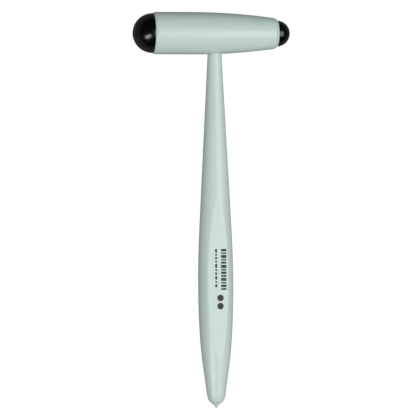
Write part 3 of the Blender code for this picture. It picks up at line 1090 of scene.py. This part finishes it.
def panel_ink(finish_values):
    """Pad-printed ink: near black, slightly patchy, rubbed thin in places."""
    finish = Finish("panel_ink")
    ink = finish_values.ink
    drift = finish.drift(shade(ink, 0.8), shade(ink, 1.5), 500.0, 0.5)
    worn = finish.handled(finish_values.wear, 1800.0, edges=False)
    under = shade(finish_values.mint, 0.5)
    colour = finish.blend(finish.maths("MULTIPLY", worn["Rub Mask"], 0.25), drift["Color"], under)
    roughness = finish.maths("MULTIPLY_ADD", drift["Cloud"], 0.15, 0.4, clamp=True)
    grain = finish.grain(5000.0, 0.4)
    finish.feed(Base_Color=colour, Roughness=roughness, Normal=finish.bump(grain, 0.000006, 0.5))
    return finish.material


def pale_floor(finish_values):
    """Pale matt board with a trace of paper grain, lifted to white where seen directly."""
    finish = Finish("pale_floor")
    floor = finish_values.floor
    drift = finish.drift(shade(floor, 0.99), shade(floor, 1.01), 6.0, 0.1)
    grain = finish.grain(700.0, 0.2)
    seen = finish.add("ShaderNodeLightPath").outputs["Is Camera Ray"]
    glow = finish.blend(seen, (0.0, 0.0, 0.0, 1.0), (1.0, 1.0, 1.0, 1.0))
    finish.feed(
        Base_Color=drift["Color"], Roughness=0.75, Normal=finish.bump(grain, 0.00002, 0.3),
        Emission_Color=glow, Emission_Strength=finish_values.floor_glow,
    )
    return finish.material


FINISH_MAKERS = {
    "moulded_mint": moulded_mint,
    "bumper_rubber": bumper_rubber,
    "turned_steel": turned_steel,
    "natural_nylon": natural_nylon,
    "panel_ink": panel_ink,
    "pale_floor": pale_floor,
}


def finish_named(name, context):
    """A finish, made the first time it is asked for."""
    return bpy.data.materials.get(name) or FINISH_MAKERS[name](context.scene.hammer_finish)


# ---------------------------------------------------------------- properties


class HammerSizes(bpy.types.PropertyGroup):
    """Fineness and small clearances of the visible surfaces."""

    segments: IntProperty(
        name="Facets", description="Facets round each turned piece", default=144, min=48, max=320
    )
    seam_gap: FloatProperty(
        name="Seam gap", description="Width of the parting line between the grip's shells",
        default=0.00007, min=0.0, unit="LENGTH",
    )
    seam_edge: FloatProperty(
        name="Seam edge", description="Rounding of the shells' edges along the parting line",
        default=0.00014, min=0.0, unit="LENGTH",
    )
    fit_gap: FloatProperty(
        name="Fit gap", description="Hairline left between the neck and the barrel",
        default=0.00005, min=0.0, unit="LENGTH",
    )


class HammerFinish(bpy.types.PropertyGroup):
    """Colours and condition of the hammer's finishes."""

    mint: FloatVectorProperty(
        name="Mint plastic", description="Colour of the moulded barrel and grip",
        default=(0.505, 0.612, 0.575), min=0.0, max=1.0, subtype="COLOR",
    )
    mint_roughness: FloatProperty(
        name="Plastic roughness", description="How matt the moulded plastic is",
        default=0.3, min=0.0, max=1.0, subtype="FACTOR",
    )
    rubber: FloatVectorProperty(
        name="Rubber", description="Colour of the bumpers",
        default=(0.0014, 0.0014, 0.0015), min=0.0, max=1.0, subtype="COLOR",
    )
    rubber_roughness: FloatProperty(
        name="Rubber roughness", description="How matt the bumpers are",
        default=0.22, min=0.0, max=1.0, subtype="FACTOR",
    )
    steel: FloatVectorProperty(
        name="Steel", description="Colour of the rod, weight, screw and pin",
        default=(0.55, 0.56, 0.57), min=0.0, max=1.0, subtype="COLOR",
    )
    nylon: FloatVectorProperty(
        name="Nylon", description="Colour of the studs and the rod's anchor",
        default=(0.80, 0.79, 0.74), min=0.0, max=1.0, subtype="COLOR",
    )
    ink: FloatVectorProperty(
        name="Ink", description="Colour of the printed marks",
        default=(0.012, 0.014, 0.015), min=0.0, max=1.0, subtype="COLOR",
    )
    floor: FloatVectorProperty(
        name="Floor", description="Colour of the board under the hammer",
        default=(0.13, 0.13, 0.13), min=0.0, max=1.0, subtype="COLOR",
    )
    floor_glow: FloatProperty(
        name="Floor glow", description="How far the board is lifted towards white as seen directly",
        default=0.92, min=0.0, max=2.0,
    )
    wear: FloatProperty(
        name="Wear", description="How much the hammer has been handled",
        default=0.45, min=0.0, max=1.0, subtype="FACTOR",
    )


# ---------------------------------------------------------------- operators


class HAMMER_OT_barrel(bpy.types.Operator):
    """Turn the tapered barrel and open the rod's port on its handle side"""

    bl_idname = "hammer.barrel"
    bl_label = "Barrel"
    bl_options = {"REGISTER", "UNDO"}

    def execute(self, context):
        segments = context.scene.hammer_sizes.segments
        mesh = turned("barrel_shell", barrel_outline(), segments, ALONG_HEAD)
        mint = finish_named("moulded_mint", context)
        barrel = place("barrel_shell", mesh, mint, "mint_plastic", "hammer", "head_barrel")
        top, foot = PORT_SPAN
        corners = ((0.0, top), (PORT_RADIUS, top), (PORT_RADIUS, foot), (0.0, foot))
        port = [(r, h, 0.0) for r, h in corners]
        cut_with(barrel, turned("port_cutter", port, PORT_FACETS, ALONG_HANDLE, closed=False))
        return {"FINISHED"}


class HAMMER_OT_bushes(bpy.types.Operator):
    """Turn the bushes that line the barrel's two ends"""

    bl_idname = "hammer.bushes"
    bl_label = "End bushes"
    bl_options = {"REGISTER", "UNDO"}

    def execute(self, context):
        segments = context.scene.hammer_sizes.segments
        mint = finish_named("moulded_mint", context)
        for name, outline, node in (
            ("large_end_socket", large_bush_outline(), "large_end_bush"),
            ("small_end_lip", small_bush_outline(), "small_end_bush"),
        ):
            mesh = turned(name, outline, segments, ALONG_HEAD)
            place(name, mesh, mint, "mint_plastic", "hammer", node)
        return {"FINISHED"}


class HAMMER_OT_bumpers(bpy.types.Operator):
    """Turn the rubber domes and the ribbed studs that hold them in the bushes"""

    bl_idname = "hammer.bumpers"
    bl_label = "Bumpers"
    bl_options = {"REGISTER", "UNDO"}

    def execute(self, context):
        segments = context.scene.hammer_sizes.segments
        rubber = finish_named("bumper_rubber", context)
        nylon = finish_named("natural_nylon", context)
        for end, size, lay in (
            ("large", LARGE_BUMPER, AGAINST_HEAD),
            ("small", SMALL_BUMPER, ALONG_HEAD),
        ):
            body = f"{end}_bumper_set"
            dome = turned(f"{end}_dome", dome_outline(size), segments, lay, size["centre"], False)
            place(f"{end}_dome", dome, rubber, "black_rubber", body, f"{end}_bumper")
            outline = stud_outline(size)
            stud = turned(f"{end}_stud", outline, segments // 2, lay, size["centre"], False)
            place(f"{end}_stud", stud, nylon, "white_nylon", body, f"{end}_bumper_stud")
        return {"FINISHED"}


class HAMMER_OT_grip(bpy.types.Operator):
    """Loft the two half shells of the grip, from the barrel's saddle to the butt"""

    bl_idname = "hammer.grip"
    bl_label = "Grip shells"
    bl_options = {"REGISTER", "UNDO"}

    def execute(self, context):
        mint = finish_named("moulded_mint", context)
        for side, name in ((1, "front"), (-1, "back")):
            mesh = shell_mesh(f"{name}_shell", side, context.scene.hammer_sizes)
            place(f"{name}_shell", mesh, mint, "mint_plastic", "hammer", f"grip_{name}_shell")
        return {"FINISHED"}


class HAMMER_OT_point(bpy.types.Operator):
    """Turn the small stroking point in the butt"""

    bl_idname = "hammer.point"
    bl_label = "Stroking point"
    bl_options = {"REGISTER", "UNDO"}

    def execute(self, context):
        mesh = turned("stroking_point", tip_outline(), TIP_FACETS, ALONG_HANDLE, closed=False)
        mint = finish_named("moulded_mint", context)
        place("stroking_point", mesh, mint, "mint_plastic", "hammer", "point_tip")
        return {"FINISHED"}


class HAMMER_OT_marks(bpy.types.Operator):
    """Print the plain bars, dashes and dots on the front panel"""

    bl_idname = "hammer.marks"
    bl_label = "Panel marks"
    bl_options = {"REGISTER", "UNDO"}

    def execute(self, context):
        ink = finish_named("panel_ink", context)
        bars = stripe_mesh("panel_bars", BARS_START, BAR_WIDTHS, BAR_SPACE, BARS_SPAN, INK_CORNER)
        dashes = stripe_mesh(
            "panel_dashes", DASH_START, DASH_LENGTHS, DASH_SPACE, DASH_SPAN, INK_CORNER
        )
        dots = bmesh.new()
        for station in DOT_STATIONS:
            half = (DOT_RADIUS, DOT_RADIUS)
            rounded_block(dots, (DOT_CENTRE, -station), half, DOT_RADIUS - 0.01)
        for name, mesh in (
            ("panel_bars", bars),
            ("panel_dashes", dashes),
            ("panel_dots", finished_mesh("panel_dots", dots)),
        ):
            piece = bpy.data.objects.new(name, mesh)
            bpy.context.scene.collection.objects.link(piece)
            mesh.materials.append(ink)
            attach(piece, "hammer")
        return {"FINISHED"}


class HAMMER_OT_inner_parts(bpy.types.Operator):
    """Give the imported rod, weight, screw, anchor and pin their finishes"""

    bl_idname = "hammer.inner_parts"
    bl_label = "Inner parts"
    bl_options = {"REGISTER", "UNDO"}

    def execute(self, context):
        for node, finish in (
            ("core_rod", "turned_steel"),
            ("head_weight", "turned_steel"),
            ("rod_grub_screw", "turned_steel"),
            ("anchor_pin", "turned_steel"),
            ("rod_anchor", "natural_nylon"),
        ):
            material = finish_named(finish, context)
            for material_slot in frame["nodes"][node].material_slots:
                material_slot.link = "OBJECT"
                material_slot.material = material
        return {"FINISHED"}


def aim(item, location, target, up):
    """Point a camera or light at a target, with its own upward direction given."""
    back = (location - target).normalized()
    right = up.cross(back).normalized()
    item.matrix_world = Matrix.Translation(location) @ Matrix(
        (right, back.cross(right), back)
    ).transposed().to_4x4()


class HAMMER_OT_stage(bpy.types.Operator):
    """Lay the floor, hang the soft lights and set the camera over the hammer"""

    bl_idname = "hammer.stage"
    bl_label = "Stage"
    bl_options = {"REGISTER", "UNDO"}

    def execute(self, context):
        scene = context.scene
        self.floor(context)
        self.lights(scene)
        self.world(scene)
        self.camera(scene)
        scene.view_settings.view_transform = "Standard"
        return {"FINISHED"}

    def floor(self, context):
        bpy.ops.mesh.primitive_circle_add(
            vertices=FLOOR_FACETS, radius=FLOOR_RADIUS, fill_type="NGON"
        )
        floor = context.active_object
        floor.name = "floor"
        floor.location.z = -FLOOR_DROP
        floor.data.materials.append(finish_named("pale_floor", context))

    def lights(self, scene):
        centre = HAMMER @ Vector(LIGHT_TARGET)
        turn = HAMMER.to_3x3()
        for name, across, along, size, tilt, glow in LIGHTS:
            lamp = bpy.data.lights.new(name, "AREA")
            lamp.shape = "RECTANGLE"
            lamp.size, lamp.size_y = size
            lamp.energy = glow * math.pi * size[0] * size[1]
            lamp.color = LIGHT_COLOUR
            light = bpy.data.objects.new(name, lamp)
            scene.collection.objects.link(light)
            light.visible_camera = False
            direction = Vector((
                math.sin(math.radians(across)),
                math.sin(math.radians(along)),
                math.cos(math.radians(across)) * math.cos(math.radians(along)),
            )).normalized()
            up = Vector((-math.sin(math.radians(tilt)), math.cos(math.radians(tilt)), 0.0))
            aim(light, centre + turn @ direction * LIGHT_DISTANCE, centre, turn @ up)

    def world(self, scene):
        world = bpy.data.worlds.new("studio")
        world.use_nodes = True
        background = world.node_tree.nodes["Background"]
        background.inputs["Color"].default_value = AMBIENT_COLOUR
        nodes = Nodes(world.node_tree)
        glossy = nodes.add("ShaderNodeLightPath").outputs["Is Glossy Ray"]
        strength = nodes.maths("MULTIPLY_ADD", glossy, AMBIENT_GLOSS - AMBIENT, AMBIENT)
        world.node_tree.links.new(strength, background.inputs["Strength"])
        scene.world = world

    def camera(self, scene):
        data = bpy.data.cameras.new("camera")
        data.sensor_width = SENSOR
        data.lens = SENSOR * VIEW_DISTANCE / VIEW_FIELD
        data.clip_end = CLIP_END
        camera = bpy.data.objects.new("camera", data)
        scene.collection.objects.link(camera)
        turn = HAMMER.to_3x3()
        back = Vector((-math.sin(VIEW_YAW), 0.0, math.cos(VIEW_YAW)))
        up = Vector((math.sin(VIEW_ROLL), math.cos(VIEW_ROLL), 0.0))
        target = HAMMER @ (Vector(VIEW_TARGET) * MM)
        aim(camera, target + turn @ back * VIEW_DISTANCE * MM, target, turn @ up)
        scene.camera = camera


STEPS = (
    HAMMER_OT_barrel,
    HAMMER_OT_bushes,
    HAMMER_OT_bumpers,
    HAMMER_OT_grip,
    HAMMER_OT_point,
    HAMMER_OT_marks,
    HAMMER_OT_inner_parts,
    HAMMER_OT_stage,
)


class HAMMER_PT_sidebar(bpy.types.Panel):
    """Lists the steps that build the hammer, with its sizes and finishes"""

    bl_idname = "HAMMER_PT_sidebar"
    bl_label = "Reflex Hammer"
    bl_space_type = "VIEW_3D"
    bl_region_type = "UI"
    bl_category = "Hammer"

    def draw(self, context):
        layout = self.layout
        for group in (context.scene.hammer_sizes, context.scene.hammer_finish):
            box = layout.box()
            for name in group.bl_rna.properties.keys():
                if name not in {"rna_type", "name"}:
                    box.prop(group, name)
        for step in STEPS:
            layout.operator(step.bl_idname)


CLASSES = (HammerSizes, HammerFinish, *STEPS, HAMMER_PT_sidebar)


def register():
    for item in CLASSES:
        bpy.utils.register_class(item)
    bpy.types.Scene.hammer_sizes = PointerProperty(type=HammerSizes)
    bpy.types.Scene.hammer_finish = PointerProperty(type=HammerFinish)


def unregister():
    del bpy.types.Scene.hammer_finish
    del bpy.types.Scene.hammer_sizes
    for item in reversed(CLASSES):
        bpy.utils.unregister_class(item)


def main():
    register()
    bpy.ops.hammer.barrel()
    bpy.ops.hammer.bushes()
    bpy.ops.hammer.bumpers()
    bpy.ops.hammer.grip()
    bpy.ops.hammer.point()
    bpy.ops.hammer.marks()
    bpy.ops.hammer.inner_parts()
    bpy.ops.hammer.stage()


if __name__ == "__main__":
    main()
